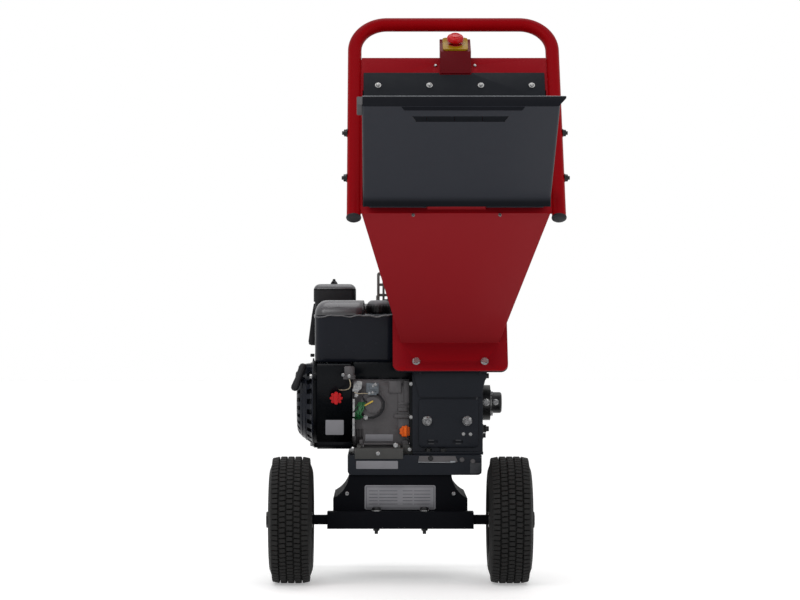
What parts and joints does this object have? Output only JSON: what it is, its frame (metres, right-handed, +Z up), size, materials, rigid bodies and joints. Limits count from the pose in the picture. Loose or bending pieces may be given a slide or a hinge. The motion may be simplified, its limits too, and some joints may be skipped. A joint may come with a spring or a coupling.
{
  "type": "garden shredder",
  "caption": "Wheeled petrol garden shredder with a folding feed tray, leaning hopper and handle, drum cutter, discharge chute and a stop button.",
  "frame": {"origin": "on the ground, under the middle of the machine's bounding box", "axes": "+X to the machine's right seen by the operator, +Y away from the operator, +Z up"},
  "size_m": [0.6176, 1.0757, 1.1801],
  "materials": {
    "powder_black": "semi-gloss black powder coat, fine texture",
    "red_paint": "gloss red powder coat",
    "zinc": "zinc-plated steel",
    "tyre_rubber": "black moulded rubber",
    "rim_steel": "silver paint on pressed steel",
    "engine_alloy": "sand-cast, grey painted aluminium",
    "engine_black": "gloss black stove enamel on pressed steel",
    "black_plastic": "satin moulded plastic",
    "curtain_rubber": "matte rubber sheet",
    "label_silver": "bare satin aluminium plate",
    "exhaust_steel": "heat-dulled steel",
    "governor_plate": "zinc-plated pressed steel",
    "wire_green": "plastic cable sheath",
    "switch_red": "moulded plastic",
    "oil_cap_orange": "moulded plastic",
    "stop_yellow": "moulded plastic",
    "machined_steel": "machined and ground steel",
    "rotor_iron": "cast and turned iron"
  },
  "bodies": {
    "frame": {"chassis": "powder_black", "axle_beam": "powder_black", "axle": "zinc", "axle_nuts": "zinc", "axle_bolts": "zinc", "rear_stand": "powder_black", "stand_feet": "black_plastic", "engine_deck": "powder_black", "deck_bolts": "zinc", "rating_plates": "label_silver", "crankcase": "engine_alloy", "crankcase_cover": "engine_alloy", "engine_screws": "zinc", "cylinder_block": "engine_alloy", "spark_plug": "black_plastic", "fan_shroud": "engine_black", "recoil_housing": "engine_black", "fuel_tank": "engine_black", "carburettor": "engine_alloy", "air_filter_box": "black_plastic", "air_filter_cover": "black_plastic", "muffler": "exhaust_steel", "muffler_guard": "exhaust_steel", "governor": "governor_plate", "engine_wires": "wire_green", "shaft_bearings": "machined_steel", "rotor_housing": "powder_black", "throat": "powder_black", "front_cover": "powder_black", "anvil": "machined_steel", "bearing_housing": "powder_black", "bearing_cap": "black_plastic", "housing_bolts": "zinc", "discharge_chute": "powder_black", "hopper": "red_paint", "handle_frame": "red_paint", "tube_caps": "black_plastic", "tube_bolts": "zinc", "splash_curtain": "curtain_rubber", "hopper_screws": "zinc", "hinge_pin": "zinc", "stop_switch_box": "red_paint", "stop_switch_plate": "stop_yellow"},
    "left_wheel": {"left_tyre": "tyre_rubber", "left_rim": "rim_steel"},
    "right_wheel": {"right_tyre": "tyre_rubber", "right_rim": "rim_steel"},
    "tray": {"feed_tray": "powder_black"},
    "button": {"stop_button": "switch_red"},
    "rotor": {"crankshaft": "machined_steel", "flywheel": "rotor_iron", "rotor_drum": "rotor_iron", "knives": "machined_steel"},
    "starter_pull": {"starter_handle": "black_plastic"},
    "starter_reel": {"starter_pulley": "black_plastic"},
    "fuel_filler_cap": {"fuel_cap": "black_plastic"},
    "oil_filler_cap": {"oil_cap": "oil_cap_orange"},
    "ignition_switch": {"engine_switch": "switch_red"},
    "throttle": {"throttle_lever": "black_plastic"},
    "chip_deflector": {"deflector": "powder_black"}
  },
  "joints": [
    {"name": "left_wheel_spin", "type": "hinge", "parent": "frame", "child": "left_wheel", "pos_m": [-0.2555, 0.17087, 0.134], "axis": [1, 0, 0], "continuous": true},
    {"name": "right_wheel_spin", "type": "hinge", "parent": "frame", "child": "right_wheel", "pos_m": [0.2065, 0.17087, 0.134], "axis": [1, 0, 0], "continuous": true},
    {"name": "tray_fold", "type": "hinge", "parent": "frame", "child": "tray", "pos_m": [0.0825, -0.23855, 0.78833], "axis": [1, 0, 0], "range_deg": [-84, 0]},
    {"name": "stop_button_press", "type": "slide", "parent": "frame", "child": "button", "axis": [0, 0.515, -0.8572], "range_m": [0, 0.005], "stiffness_N_per_m": 900},
    {"name": "rotor_spin", "type": "hinge", "parent": "frame", "child": "rotor", "pos_m": [-0.0245, 0.33587, 0.376], "axis": [1, 0, 0], "continuous": true},
    {"name": "starter_pull_out", "type": "slide", "parent": "frame", "child": "starter_pull", "axis": [0, -0.9397, 0.342], "range_m": [0, 0.09], "stiffness_N_per_m": 120, "springref_m": -0.02},
    {"name": "starter_reel_turn", "type": "hinge", "parent": "frame", "child": "starter_reel", "pos_m": [-0.2425, 0.33587, 0.376], "axis": [1, 0, 0], "range_deg": [0, 150]},
    {"name": "fuel_cap_turn", "type": "hinge", "parent": "frame", "child": "fuel_filler_cap", "pos_m": [-0.0705, 0.34787, 0.569], "axis": [0, 0, 1], "range_deg": [0, 90]},
    {"name": "oil_cap_turn", "type": "hinge", "parent": "frame", "child": "oil_filler_cap", "pos_m": [-0.0135, 0.25088, 0.318], "axis": [0, -1, 0], "range_deg": [0, 180]},
    {"name": "engine_switch_turn", "type": "hinge", "parent": "frame", "child": "ignition_switch", "pos_m": [-0.1615, 0.22787, 0.39], "axis": [0, -1, 0], "range_deg": [0, 45]},
    {"name": "throttle_turn", "type": "hinge", "parent": "frame", "child": "throttle", "pos_m": [-0.1905, 0.44388, 0.396], "axis": [0, 1, 0], "range_deg": [-25, 25]},
    {"name": "deflector_tilt", "type": "hinge", "parent": "frame", "child": "chip_deflector", "pos_m": [0.0785, 0.39187, 0.616], "axis": [1, 0, 0], "range_deg": [-30, 20]}
  ],
  "couplings": [
    {"joint": "starter_reel_turn", "follows": "starter_pull_out", "rad_per_m": 28.571}
  ]
}
